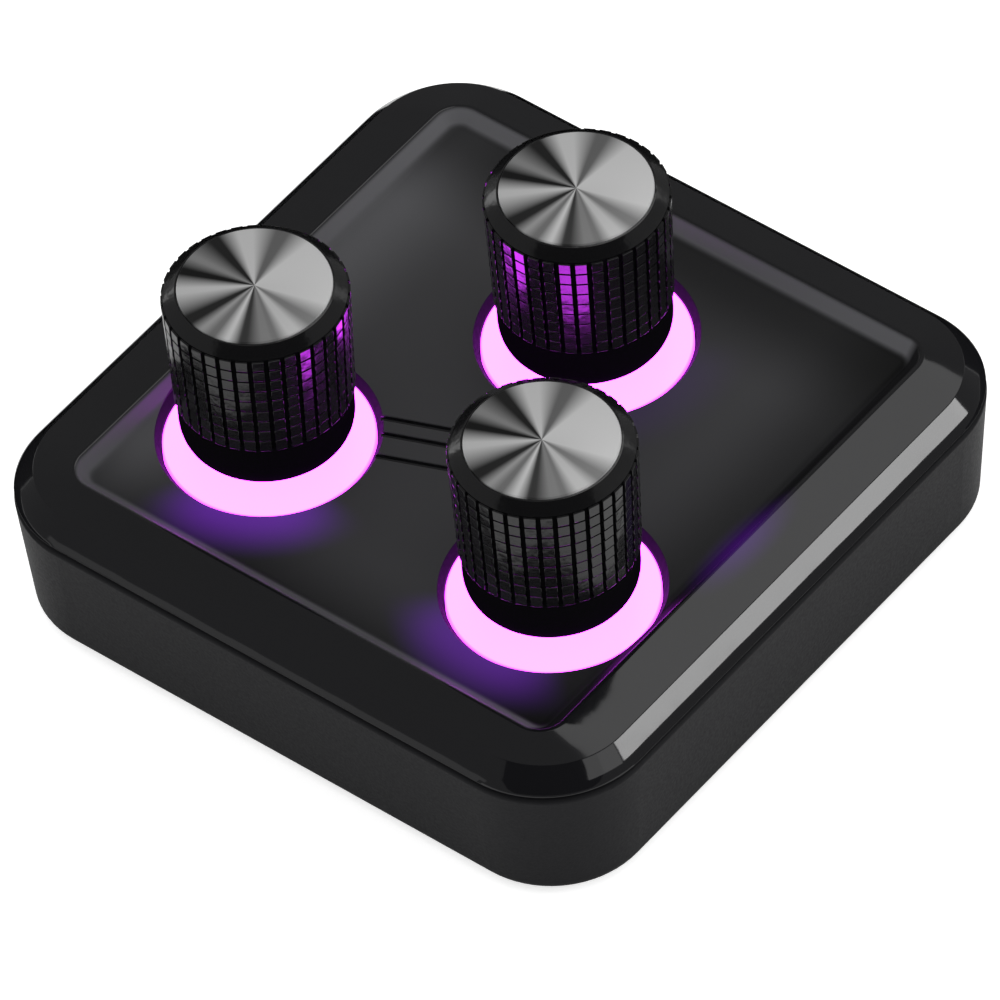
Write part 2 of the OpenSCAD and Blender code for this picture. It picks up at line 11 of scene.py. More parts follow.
import bmesh
import bpy
from bmesh.types import BMEdge, BMesh, BMVert
from bpy.types import Material, Node, Object
from bpy.types import NodeSocket as Socket
from mathutils import Matrix, Vector


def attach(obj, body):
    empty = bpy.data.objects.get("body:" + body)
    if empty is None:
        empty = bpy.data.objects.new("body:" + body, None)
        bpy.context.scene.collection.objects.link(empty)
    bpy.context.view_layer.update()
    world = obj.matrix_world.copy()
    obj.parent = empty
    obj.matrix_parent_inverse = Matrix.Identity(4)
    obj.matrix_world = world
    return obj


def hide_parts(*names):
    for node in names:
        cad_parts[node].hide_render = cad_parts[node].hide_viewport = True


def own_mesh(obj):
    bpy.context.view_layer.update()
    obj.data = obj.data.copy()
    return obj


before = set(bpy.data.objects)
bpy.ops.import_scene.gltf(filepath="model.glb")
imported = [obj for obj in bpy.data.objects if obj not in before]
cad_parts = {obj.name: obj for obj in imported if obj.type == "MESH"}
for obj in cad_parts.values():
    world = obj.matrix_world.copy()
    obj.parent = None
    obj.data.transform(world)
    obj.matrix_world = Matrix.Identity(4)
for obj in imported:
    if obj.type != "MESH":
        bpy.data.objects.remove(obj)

log = logging.getLogger("pad")
MM = 0.001
Point = tuple[float, float]
Triple = tuple[float, float, float]
# Distance between two rings of Blender's wave texture at a scale of 1
WAVE_PERIOD = 0.314
# Angle in radians past which the edge between two faces counts as a corner
CORNER = 1.0
# Distance below which two corners of a mesh are one
MERGE = 0.0005
WHITE = (1.0, 1.0, 1.0, 1.0)
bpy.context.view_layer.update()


# ---- Helpers ----

class Side(Enum):
    """The three knobs, as the user sees them, with their centres."""

    LEFT = ("left", -14.2, -11.4)
    RIGHT = ("right", 14.2, -11.4)
    BACK = ("back", 0.0, 11.3)

    @property
    def tag(self) -> str:
        """The word that ends the names of this knob's nodes."""
        return self.value[0]

    @property
    def centre(self) -> Vector:
        """The knob's axis on the ground."""
        return Vector((self.value[1], self.value[2], 0.0))


def linear(code: str) -> tuple[float, ...]:
    """Turns an sRGB hex colour to linear.

    Args:
        code: six hex digits after a hash.

    Returns:
        Linear red, green, blue and an alpha of 1.
    """
    parts = [int(code[i:i + 2], 16) / 255 for i in (1, 3, 5)]
    low = [p / 12.92 if p <= 0.04045 else ((p + 0.055) / 1.055) ** 2.4 for p in parts]
    return (*low, 1.0)


def metres(values: tuple[float, ...]) -> tuple[float, ...]:
    """Returns millimetres as metres."""
    return tuple(value * MM for value in values)


def heading(degrees: float) -> Vector:
    """Returns the level direction at an angle anticlockwise from X."""
    return Vector((math.cos(math.radians(degrees)), math.sin(math.radians(degrees)), 0.0))


def facing(place: Vector) -> Matrix:
    """Returns the transform of a card that stands at a place and faces the pad."""
    return Matrix.Translation(place) @ place.to_track_quat("Z", "Y").to_matrix().to_4x4()


class Graph:
    """One material with its nodes."""

    def __init__(self, name: str) -> None:
        """Makes the material with its surface shader.

        Args:
            name: the material's name.
        """
        self.material = bpy.data.materials.new(name)
        self.material.use_nodes = True
        self.shader = self.material.node_tree.nodes["Principled BSDF"]

    @cached_property
    def place(self) -> Socket:
        """The position in the piece's own frame, in metres."""
        return self.add("TexCoord").outputs["Object"]

    def feed(self, node: Node, sources: dict) -> None:
        """Gives a node's inputs their sources.

        Args:
            node: the node.
            sources: for each input, the output socket or the plain value that feeds it.
        """
        for name, source in sources.items():
            if isinstance(source, Socket):
                self.material.node_tree.links.new(source, node.inputs[name])
            else:
                node.inputs[name].default_value = source

    def surface(self, sources: dict) -> None:
        """Gives the surface shader's inputs their sources."""
        self.feed(self.shader, sources)

    def add(self, kind: str, sources: dict | None = None, **settings: object) -> Node:
        """Adds a node.

        Args:
            kind: Blender's name of the node type after ShaderNode.
            sources: what feeds its inputs.
            settings: the node's own properties.

        Returns:
            The new node.
        """
        made = self.material.node_tree.nodes.new("ShaderNode" + kind)
        for key, value in settings.items():
            setattr(made, key, value)
        self.feed(made, sources or {})
        return made

    def ramp(self, value: Socket, span: Point, ends: tuple = (0.0, 1.0),
             smooth: bool = True) -> Socket:
        """Maps a value from one span to another and holds it past the ends.

        Args:
            value: the value that is mapped.
            span: where the change starts and ends.
            ends: what comes out there, as numbers or sockets.
            smooth: whether the change eases in and out.

        Returns:
            The mapped value.
        """
        return self.add("MapRange",
                        {"Value": value, "From Min": span[0], "From Max": span[1],
                         "To Min": ends[0], "To Max": ends[1]},
                        interpolation_type="SMOOTHSTEP" if smooth else "LINEAR"
                        ).outputs["Result"]

    def mix(self, factor: Socket, one: object, other: object,
            kind: str = "RGBA") -> Socket:
        """Blends from one source to the other by the factor."""
        return self.add("Mix", {"Factor": factor, "A": one, "B": other},
                        data_type=kind).outputs["Result"]

    def maths(self, operation: str, *values: float | Socket) -> Socket:
        """Returns the result of one operation on numbers."""
        return self.add("Math", dict(enumerate(values)), operation=operation).outputs["Value"]

    def vector(self, operation: str, *values: object) -> Socket:
        """Returns the result of one operation on vectors."""
        made = self.add("VectorMath", dict(enumerate(values)), operation=operation)
        return made.outputs["Value" if operation in ("LENGTH", "DOT_PRODUCT") else "Vector"]

    def scaled(self, color: str, share: Socket) -> Socket:
        """Returns a hex colour at a share of its strength."""
        return self.add("VectorMath", {0: linear(color)[:3], "Scale": share},
                        operation="SCALE").outputs["Vector"]

    def along(self, axis: str, place: Socket | None = None) -> Socket:
        """Returns one coordinate of a place, or of the position."""
        return self.add("SeparateXYZ", {"Vector": place or self.place}).outputs[axis]

    def around(self, centre: Vector, half: Point = (1.0, 1.0)) -> Socket:
        """Returns the level offset from an upright axis.

        Args:
            centre: the axis.
            half: the offsets in metres, across and deep, that come out as 1.

        Returns:
            The offset.
        """
        return self.add("Mapping",
                        {"Vector": self.place, "Scale": (1 / half[0], 1 / half[1], 0.0),
                         "Location": (-centre.x * MM / half[0], -centre.y * MM / half[1],
                                      0.0)}).outputs["Vector"]

    def bump(self, height: Socket, depth: float, strength: float) -> Socket:
        """Returns the normal of a bump."""
        return self.add("Bump", {"Height": height, "Distance": depth * MM,
                                           "Strength": strength}).outputs["Normal"]


def ease(bm: BMesh, edges: list[BMEdge], size: float, segments: int) -> None:
    """Rounds edges over a size, with some segments."""
    bmesh.ops.bevel(bm, geom=edges, offset=size, segments=segments, profile=0.5,
                    affect="EDGES", material=-1)


def piece(bm: BMesh, name: str, material: Material, sharp: float = 32.0) -> Object:
    """Makes a finished object of a mesh that was built in millimetres.

    Args:
        bm: the mesh, which is freed.
        name: the object's name.
        material: its finish.
        sharp: angle past which an edge stays sharp.

    Returns:
        The linked object, at the origin and in metres.
    """
    bmesh.ops.remove_doubles(bm, verts=bm.verts, dist=MERGE)
    bmesh.ops.recalc_face_normals(bm, faces=bm.faces)
    bmesh.ops.scale(bm, vec=(MM, MM, MM), verts=bm.verts)
    for face in bm.faces:
        face.smooth = True
    mesh = bpy.data.meshes.new(name)
    bm.to_mesh(mesh)
    bm.free()
    mesh.set_sharp_from_angle(angle=math.radians(sharp))
    mesh.materials.append(material)
    obj = bpy.data.objects.new(name, mesh)
    bpy.context.scene.collection.objects.link(obj)
    return obj


def spun(profile: list[Point], steps: int, centre: Vector) -> BMesh:
    """Spins a section round an upright axis.

    Args:
        profile: radius and height of each corner; a closed section repeats none.
        steps: faces round the turn.
        centre: the axis.

    Returns:
        The spun mesh, with its doubles merged.
    """
    bm = bmesh.new()
    verts = [bm.verts.new((r, 0.0, z)) for r, z in profile]
    edges = [bm.edges.new((a, b)) for a, b in zip(verts, verts[1:] + verts[:1])
             if a.co.x + b.co.x > 0]
    bmesh.ops.spin(bm, geom=verts + edges, angle=math.tau, steps=steps, use_merge=True,
                   axis=(0.0, 0.0, 1.0), cent=(0.0, 0.0, 0.0))
    bmesh.ops.remove_doubles(bm, verts=bm.verts, dist=MERGE)
    bmesh.ops.translate(bm, vec=centre, verts=bm.verts)
    return bm


def cut(obj: Object, cutters: list[Object]) -> None:
    """Takes each cutter out of the object, then removes the cutters.

    Args:
        obj: the piece that is cut.
        cutters: closed shapes in the same frame.
    """
    for tool in cutters:
        step = obj.modifiers.new("cut", "BOOLEAN")
        step.operation, step.object, step.solver = "DIFFERENCE", tool, "EXACT"
        step.material_mode = "TRANSFER"
        graph = bpy.context.evaluated_depsgraph_get()
        mesh = bpy.data.meshes.new_from_object(obj.evaluated_get(graph))
        obj.modifiers.clear()
        old, obj.data = obj.data, mesh
        mesh.name = obj.name
        bpy.data.meshes.remove(old)
        bpy.data.objects.remove(tool)


# ---- Finishes ----

@dataclass(frozen=True)
class Finish:
    """A moulded or cast surface: its colour clouds a little, and a fine grain dulls it."""

    name: str
    color: str
    roughness: float
    grain_mm: float = 0.3
    grain_depth: float = 0.05
    grain_span: Point = (0.3, 0.7)
    mottle: float = 0.12
    metallic: float = 0.0
    specular: float = 0.5
    anisotropic: float = 0.0
    cloud_mm: float = 9.0
    sheen_spread: float = 0.12
    cloud_detail: float = 3.0
    grain_detail: float = 2.0

    def material(self) -> Material:
        """Finds the finish's material, or makes it the first time.

        Returns:
            The material.
        """
        found = bpy.data.materials.get(self.name)
        if found:
            return found
        graph = Graph(self.name)
        graph.surface({"Metallic": self.metallic, "Specular IOR Level": self.specular,
                       "Anisotropic": self.anisotropic})
        self.dress(graph)
        return graph.material

    def dress(self, graph: Graph) -> None:
        """Adds the clouded colour, the uneven sheen and the grain.

        Args:
            graph: the material's nodes.
        """
        noises = ((self.cloud_mm, self.cloud_detail), (self.grain_mm, self.grain_detail))
        cloud, grain = (graph.add("TexNoise", {"Vector": graph.place, "Detail": detail,
                                               "Scale": 1 / (size * MM)}).outputs["Fac"]
                        for size, detail in noises)
        base = linear(self.color)
        pale = (*(min(1.0, c * (1 + self.mottle)) for c in base[:3]), 1.0)
        spread = (1 - self.sheen_spread, 1 + self.sheen_spread)
        sheen = graph.ramp(grain, self.grain_span,
                           tuple(self.roughness * share for share in spread), smooth=False)
        graph.surface({"Base Color": graph.mix(cloud, base, pale), "Roughness": sheen,
                       "Normal": graph.bump(grain, self.grain_mm, self.grain_depth)})


@dataclass(frozen=True)
class CoverWithPaintedLight(Finish):
    """Polished ABS with a satin sunk floor; light and shade are painted into the recess's
    tone, and a violet glow of the rings' light is painted onto the floor as emission.

    The recess is half its width and depth and its corner's radius; each knob's painted glow
    leaves it at an angle, with its share of the power.
    """

    floor_tone: str = "#3c3c3e"
    # Recess walls in a lighter tone than the rim: painted light
    painted_light_wall_tone: str = "#5e5e61"
    satin: float = 0.45
    floor_z: float = 14.0
    recess: Triple = (24.05, 24.95, 2.25)
    crest_band: Point = (0.1, -0.3)
    line_band: Point = (-0.1, -0.02)
    floor_band: Point = (0.3, 0.02)
    # The right wall's tone falls to dark, painted shade, and its gloss is lowered
    right_wall: Point = (22.1, 22.9)
    painted_shade_right_share: Point = (1.0, 0.1)
    right_gloss: Point = (0.2, 0.002)
    # Painted shade darkens the floor towards its edges; painted light lightens its left side
    painted_shade_middle: Point = (-3.0, -1.5)
    painted_shade_start: Point = (17.0, 15.0)
    painted_shade_end: Point = (26.0, 24.0)
    painted_shade_share: Point = (0.35, 0.3)
    painted_light_span: Point = (-24.0, -13.0)
    painted_light_share: Point = (2.1, 1.03)
    # Painted glow of ring light: emission beside each ring and along the right wall's foot
    glow: str = "#9a14ff"
    painted_glow_power: float = 0.25
    painted_glow_ways: tuple[Point, ...] = ((298.0, 1.0), (266.0, 0.75), (345.0, 0.1))
    painted_glow_cone: Point = (0.65, 0.98)
    ring_r: float = 8.9
    painted_glow_reach: float = 5.0
    painted_streak_power: float = 0.09
    painted_streak_half: Point = (2.6, 7.5)

    def dress(self, graph: Graph) -> None:
        """Adds the satin recess with its painted light and shade, and the painted glow, to
        the moulded surface.

        Args:
            graph: the material's nodes.
        """
        super().dress(graph)
        inside, floor = self.masks(graph)
        # Painted light on the recess walls, painted shade and lowered gloss on the right one
        share, satin_gloss = (graph.ramp(graph.along("X"), metres(self.right_wall), ends,
                                         smooth=False)
                              for ends in (self.painted_shade_right_share, self.right_gloss))
        tone = graph.mix(floor, graph.scaled(self.painted_light_wall_tone, share), self.shade(graph))
        for name, kind, satin in (("Base Color", "RGBA", tone),
                                  ("Roughness", "FLOAT", self.satin)):
            polished = graph.shader.inputs[name].links[0].from_socket
            graph.surface({name: graph.mix(inside, polished, satin, kind)})
        gloss = graph.ramp(inside, (0.0, 1.0), (self.specular, satin_gloss), smooth=False)
        graph.surface({"Specular IOR Level": gloss, "Emission Color": linear(self.glow),
                       "Emission Strength": self.paint_glow(graph)})

    def masks(self, graph: Graph) -> list[Socket]:
        """Marks the recess inside the crest, and its floor.

        Args:
            graph: the material's nodes.

        Returns:
            A factor that is 1 inside the crest and above the lines, and one for the floor.
        """
        wide, deep, corner = self.recess
        straight = metres((wide - corner, deep - corner))
        past = graph.vector("SUBTRACT", graph.vector("ABSOLUTE", graph.place),
                            (*straight, 1.0))
        far = graph.vector("LENGTH", graph.vector("MAXIMUM", past, (0.0, 0.0, 0.0)))
        height = graph.along("Z")
        bands = ((far, corner, self.crest_band), (height, self.floor_z, self.line_band),
                 (height, self.floor_z, self.floor_band))
        edge, above, low = (graph.ramp(value, metres((level + start, level + end)))
                            for value, level, (start, end) in bands)
        return [graph.maths("MULTIPLY", edge, above), low]

    def shade(self, graph: Graph) -> Socket:
        """Paints light and shade into the floor's tone: darker towards its edges, but lighter
        towards the left one.

        Args:
            graph: the material's nodes.

        Returns:
            The floor's colour, with its painted light and shade.
        """
        away = graph.vector("ABSOLUTE", graph.vector("SUBTRACT", graph.place,
                                                     (*metres(self.painted_shade_middle), 0.0)))
        total = graph.ramp(graph.along("X"), metres(self.painted_light_span), self.painted_light_share)
        for axis, start, end, share in zip("XY", self.painted_shade_start, self.painted_shade_end,
                                           self.painted_shade_share):
            fade = graph.ramp(graph.along(axis, away), metres((start, end)), (1.0, share))
            total = graph.maths("MULTIPLY", fade, total)
        return graph.scaled(self.floor_tone, total)

    def paint_glow(self, graph: Graph) -> Socket:
        """Adds up the painted glow of ring light beside the rings and along the right wall.

        Args:
            graph: the material's nodes.

        Returns:
            The strength of the painted glow.
        """
        total: Socket | float = 0.0
        for side, (degrees, share) in zip(Side, self.painted_glow_ways):
            total = graph.maths("ADD", self.paint_halo(graph, side, degrees, share), total)
        # A painted strip of ring light along the foot of the right wall
        spot = graph.around(Vector((self.recess[0], 0.0, 0.0)), metres(self.painted_streak_half))
        streak = graph.ramp(graph.vector("LENGTH", spot), (0.0, 1.0),
                            (self.painted_streak_power, 0.0))
        return graph.maths("ADD", streak, total)

    def paint_halo(self, graph: Graph, side: Side, degrees: float, share: float) -> Socket:
        """Paints a glow of ring light onto the floor on one side of a ring.

        Args:
            graph: the material's nodes.
            side: the ring's knob.
            degrees: the way in which the painted glow leaves the ring.
            share: the part of the full power.

        Returns:
            The strength of this ring's painted glow.
        """
        way = graph.around(side.centre)
        near = graph.ramp(graph.vector("LENGTH", way),
                          metres((self.ring_r, self.ring_r + self.painted_glow_reach)),
                          (self.painted_glow_power * share, 0.0))
        turn = graph.vector("DOT_PRODUCT", graph.vector("NORMALIZE", way),
                            heading(degrees))
        return graph.maths("MULTIPLY", near, graph.ramp(turn, self.painted_glow_cone))


@dataclass(frozen=True)
class PaintedFan:
    """A painted highlight fan on a turned face: the angles of its middle and half width, its
    tone, the darkest tone before the next fan, and how far along that gap it lies."""

    angle: float
    half: float
    tone: str
    dark: str
    spot: float


@dataclass(frozen=True)
class TurnedMetal(Finish):
    """Aluminium faced on a lathe: fine rings, and painted highlight fans in its colour where
    the rings would catch the light.
    """

    ring_mm: float = 0.12
    ring_depth: float = 0.01
    ring_detail: float = 1.0
    ring_wobble: float = 0.6
    fans: tuple[PaintedFan, ...] = ()
    dark_share: float = 0.2
    centre: Vector = field(default_factory=Vector)

    def dress(self, graph: Graph) -> None:
        """Adds the painted highlight fans, the rings and their brushed sheen.

        Args:
            graph: the material's nodes.
        """
        # Turned so that the gradient's ends meet in the middle of the first fan
        shift = 180.0 - self.fans[0].angle
        moved = graph.add("Mapping",
                          {"Vector": graph.place, "Location": self.centre * MM,
                           "Rotation": (0.0, 0.0, -math.radians(shift))},
                          vector_type="TEXTURE").outputs["Vector"]
        angle = graph.add("TexGradient", {"Vector": moved},
                          gradient_type="RADIAL").outputs["Fac"]
        painted_wheel = graph.add("ValToRGB", {"Fac": angle})
        tones = []
        for fan, after in zip(self.fans, self.fans[1:] + self.fans[:1]):
            end = fan.angle + fan.half
            gap = (after.angle - after.half - end) % 360
            tones += [(fan.angle - fan.half, fan.tone), (end, fan.tone),
                      (end + gap * (fan.spot - self.dark_share / 2), fan.dark),
                      (end + gap * (fan.spot + self.dark_share / 2), fan.dark)]
        stops = painted_wheel.color_ramp.elements
        for index, (spot, tone) in enumerate(sorted((((a + shift) / 360 + 0.5) % 1, t)
                                                    for a, t in tones)):
            stop = stops[index] if index < 2 else stops.new(spot)
            stop.position, stop.color = spot, linear(tone)
        rings = graph.add("TexWave",
                          {"Vector": moved, "Scale": WAVE_PERIOD / (self.ring_mm * MM),
                           "Distortion": self.ring_wobble, "Detail": self.ring_detail},
                          wave_type="RINGS", rings_direction="Z").outputs["Fac"]
        turn = graph.add("Tangent", direction_type="RADIAL", axis="Z")
        graph.surface({"Base Color": painted_wheel.outputs["Color"], "Roughness": self.roughness,
                       "Normal": graph.bump(rings, self.ring_depth, self.grain_depth),
                       "Tangent": turn.outputs["Tangent"]})


@dataclass(frozen=True)
class LitDiffuser(Finish):
    """Milky PMMA lit from below: pale pink where it is looked at, violet in reflections."""

    glow: str = "#d63dff"
    power: float = 12.0
    edge_share: float = 0.5
    edge_w: float = 0.2
    centre: Vector = field(default_factory=Vector)
    outer_r: float = 8.5

    def dress(self, graph: Graph) -> None:
        """Adds the glow, which weakens at the outer edge.

        Args:
            graph: the material's nodes.
        """
        super().dress(graph)
        edge = graph.ramp(graph.vector("LENGTH", graph.around(self.centre)),
                          metres((self.outer_r - self.edge_w, self.outer_r)),
                          (self.power, self.power * self.edge_share))
        graph.surface({"Emission Color": linear(self.glow), "Emission Strength": edge})


# Painted highlight fans on a turned cap, anticlockwise from its right: painted where the
# light would catch the lathe's rings, and the dark stretch that follows
PAINTED_FANS = (
    PaintedFan(50.0, 34.0, "#d0d0d0", "#666666", 0.5), PaintedFan(136.0, 6.0, "#cccccc", "#1e1e1e", 0.46),
    PaintedFan(184.0, 2.0, "#898989", "#121212", 0.45), PaintedFan(221.0, 3.0, "#cbcbcb", "#242424", 0.68),
    PaintedFan(266.0, 1.0, "#9f9f9f", "#767676", 0.45), PaintedFan(288.0, 1.0, "#d0d0d0", "#343434", 0.45),
    PaintedFan(317.0, 3.0, "#828282", "#787878", 0.3), PaintedFan(339.0, 4.0, "#c4c4c4", "#7f7f7f", 0.4),
)

# Polished ABS: a deep black that mirrors its surroundings, with a faint moulding ripple;
# its recess carries painted light, painted shade and a painted glow
COVER_BLACK = CoverWithPaintedLight("polished_black_abs", "#131315", 0.07, grain_mm=6.0,
                           grain_depth=0.01)
# As moulded inside the ring seats: dull
SEAT_BLACK = Finish("dull_black_abs", "#141416", 0.7, grain_mm=0.25, specular=0.08)
# Fine-textured ABS: black with a soft, low sheen
CASE_BLACK = Finish("satin_black_abs", "#1a1a1c", 0.45, grain_mm=0.25, specular=0.1)
# Smooth moulded ABS of the knob's pads and rim: black and shiny
KNOB_BLACK = Finish("moulded_black_knob", "#101011", 0.15, grain_mm=1.2, grain_depth=0.03,
                    specular=0.62)
# The same ABS on the knob's skirt, darker and dull with no reflection: painted shade
SHADED_SKIRT_BLACK = Finish("shaded_dull_black_knob", "#0b0b0c", 0.5, grain_mm=0.6, specular=0.0)
# Glass-filled nylon of the inner moulds: dark and dull
NYLON_BLACK = Finish("moulded_black_nylon", "#26262a", 0.6, grain_mm=0.25)
# Plain nylon of the plungers: white and half dull
NYLON_WHITE = Finish("moulded_white_nylon", "#e4e2d8", 0.5, grain_mm=0.25)
# Solder mask over glass cloth: green, the weave shows as a faint ripple
SOLDER_MASK = Finish("solder_mask_laminate", "#15502f", 0.34, grain_mm=0.8, mottle=0.3)
# Moulded epoxy of the chip: dark grey, matt
EPOXY = Finish("moulded_epoxy", "#2a2a2c", 0.65, grain_mm=0.15)
# Nickel plate over drawn steel: pale, slightly brushed
NICKEL = Finish("nickel_plated_steel", "#c9c8c4", 0.25, grain_mm=0.2, metallic=1.0)
# Clear zinc plate on steel screws: cool, blotchy silver
ZINC = Finish("zinc_plated_steel", "#b9bdc1", 0.34, grain_mm=0.5, mottle=0.25, metallic=1.0)
# Die-cast zinc: dull and grey, with a cast skin
CAST_ZINC = Finish("die_cast_zinc", "#98989a", 0.45, grain_mm=0.4, metallic=1.0)
# Tin over brass: soft and pale
TIN = Finish("tinned_brass", "#c8c4b6", 0.36, grain_mm=0.3, metallic=1.0)
# Bright rolled spring steel
SPRING = Finish("rolled_spring_steel", "#b4b3b0", 0.28, grain_mm=0.2, metallic=1.0)
# Aluminium turned from bar: satin
SHAFT = Finish("turned_aluminium_shaft", "#b4b5b8", 0.3, grain_mm=0.2, metallic=1.0)
# Moulded rubber: black, very matt, dusty
RUBBER = Finish("moulded_rubber", "#222223", 0.85, grain_mm=0.4, grain_depth=0.2)
# White package of the lamps
LED_WHITE = Finish("white_led_package", "#ece8dc", 0.5, grain_mm=0.3)


# ---- Cover ----

@dataclass
class TopCover:
    """The polished cover: a sloping rim round a sunk floor with ring seats and lines."""

    half: float = 30.0
    corner_r: float = 9.0
    seam_z: float = 12.2
    seam_gap: float = 0.4
    seam_depth: float = 0.6
    crest_z: float = 15.1
    floor_z: float = 14.0
    under_z: float = 11.8
    rim_side: float = 5.9
    rim_front: float = 5.0
    crest_r: float = 2.3
    crest_flat: float = 0.1
    wall_lean: float = 1.2
    foot: Point = (0.4, 13.15)
    facet: Point = (1.7, 14.5)
    plate_inset: float = 5.0
    lip: Point = (2.15, 3.15)
    lip_drop: float = 1.3
    ring_r: float = 8.5
    ring_gap: float = 0.1
    ring_ledge: float = 0.9
    ring_flare: float = 0.4
    ring_top_z: float = 13.35
    ring_seat_z: float = 12.65
    ring_steps: int = 128
    edge_ease: float = 0.08
    line_w: float = 0.45
    line_depth: float = 0.25
    line_draft: float = 0.04
    line_chamfer: Point = (0.08, 0.1)
    overcut: float = 1.0
    hub_y: float = -3.8
    line_angle: float = 21.4
    gap_rear: float = 1.66
    gap_front: float = 2.36
    corner_steps: int = 20
    sharp: float = 30.0
    shading_weight: int = 90
    # Outlines that are rounded, counted from the underside: number, size and segments
    rounds: tuple[tuple[int, float, int], ...] = ((8, 0.08, 2), (9, 0.25, 4), (10, 0.04, 2),
                                                  (11, 0.3, 6), (12, 0.5, 6))

    def loop(self, bm: BMesh, inset: Point, radius: float, z: float,
             cap: bool = False) -> list[BMEdge]:
        """Adds one rounded outline.

        Args:
            bm: the mesh.
            inset: distance in from the case's sides, across and deep.
            radius: the corners' radius.
            z: the outline's height.
            cap: whether its face is kept.

        Returns:
            The outline's edges.
        """
        made = bmesh.ops.create_grid(bm, x_segments=1, y_segments=1, size=1.0)["verts"]
        bmesh.ops.scale(bm, verts=made, vec=(self.half - inset[0], self.half - inset[1],
                                             1.0))
        bmesh.ops.translate(bm, verts=made, vec=(0.0, 0.0, z))
        others = set(bm.faces) - {made[0].link_faces[0]}
        bmesh.ops.bevel(bm, geom=made, offset=radius, segments=self.corner_steps,
                        profile=0.5, affect="VERTICES", material=-1)
        face = (set(bm.faces) - others).pop()
        edges = list(face.edges)
        if not cap:
            bmesh.ops.delete(bm, geom=[face], context="FACES_ONLY")
        return edges

    def shell(self) -> BMesh:
        """Builds the cover before its seats and lines are cut.

        Returns:
            Its closed mesh.
        """
        bm = bmesh.new()
        low_z = self.seam_z + self.seam_gap
        crest = (self.rim_side + self.crest_flat / 2, self.rim_front + self.crest_flat / 2)
        sunk = tuple(c + self.crest_flat / 2 + self.wall_lean for c in crest)
        outer, inner = self.lip
        lip_z = self.seam_z - self.lip_drop

        def even(inset: float, z: float) -> tuple[Point, float, float]:
            """Returns an outline that is set in by the same distance all round."""
            return (inset, inset), self.corner_r - inset, z

        steps = [even(self.plate_inset, self.under_z), even(self.plate_inset, low_z),
                 even(inner, low_z), even(inner, lip_z), even(outer, lip_z),
                 even(outer, self.seam_z), even(self.seam_depth, self.seam_z),
                 even(self.seam_depth, low_z), even(0.0, low_z), even(*self.foot),
                 even(*self.facet), (crest, self.crest_r, self.crest_z),
                 (sunk, self.crest_r - self.crest_flat - self.wall_lean, self.floor_z)]
        # Bridged as a tall stack and then let down, so that flat pairs don't twist
        loops = [self.loop(bm, inset, radius, float(i), cap=i in (0, len(steps) - 1))
                 for i, (inset, radius, _) in enumerate(steps)]
        for below, above in zip(loops, loops[1:]):
            bmesh.ops.bridge_loops(bm, edges=below + above)
        for i, (edges, (_, _, z)) in enumerate(zip(loops, steps)):
            bmesh.ops.translate(bm, verts=list({v for e in edges for v in e.verts}),
                                vec=(0.0, 0.0, z - i))
        bmesh.ops.recalc_face_normals(bm, faces=bm.faces)
        for index, size, segments in self.rounds:
            ease(bm, loops[index], size, segments)
        return bm

    def seats(self) -> list[Object]:
        """Builds the cutters of the ring seats with their openings.

        Returns:
            One cutter for each ring.
        """
        seat = self.ring_r + self.ring_gap
        bore = seat - self.ring_ledge
        wide = seat + self.ring_flare
        eased = wide + self.edge_ease
        low, high = self.under_z - self.overcut, self.crest_z + self.overcut
        profile = [(0.0, low), (bore, low), (bore, self.ring_seat_z),
                   (seat, self.ring_seat_z), (seat, self.ring_top_z),
                   (wide, self.floor_z - self.edge_ease), (eased, self.floor_z),
                   (eased, high), (0.0, high)]
        return [piece(spun(profile, self.ring_steps, side.centre), f"cutter_{side.tag}",
                      SEAT_BLACK.material()) for side in Side]

    def routes(self) -> list[list[Vector]]:
        """Lays out the sunk lines between the rings, the hub and the back.

        Returns:
            The corners of each line, from end to end.
        """
        out = heading(self.line_angle).xy
        rise = Vector((-out.y, out.x))
        hub = Vector((0.0, self.hub_y))
        left, back = Side.LEFT.centre.xy, Side.BACK.centre.xy

        def leave(start: Vector, way: Vector, middle: Vector) -> Vector:
            """Finds where a line leaves a ring.

            Args:
                start: a point of the line.
                way: the line's direction.
                middle: the ring's centre.

            Returns:
                The point on the ring.
            """
            side = Vector((-way.y, way.x))
            off = (start - middle).dot(side)
            return middle + side * off + way * math.sqrt(self.ring_r ** 2 - off ** 2)

        def mirrored(points: list[Vector]) -> list[Vector]:
            """Returns the points on the other side of the middle plane, reversed."""
            return [Vector((-p.x, p.y)) for p in reversed(points)]

        down = Vector((0.0, -1.0))
        rear = hub + rise * self.gap_rear
        bend = rear - out * ((self.gap_rear + rear.x) / out.x)
        near = hub - rise * self.gap_front
        fold = near - out * (near.x / out.x)
        rear_line = [leave(rear, out, left), bend, leave(bend, down, back)]
        middle = [leave(hub, out, left), hub]
        front = [leave(near, out, left), fold]
        return [rear_line, mirrored(rear_line), middle + mirrored(middle)[1:],
                [hub, leave(hub, down, back)], front + mirrored(front)[1:]]

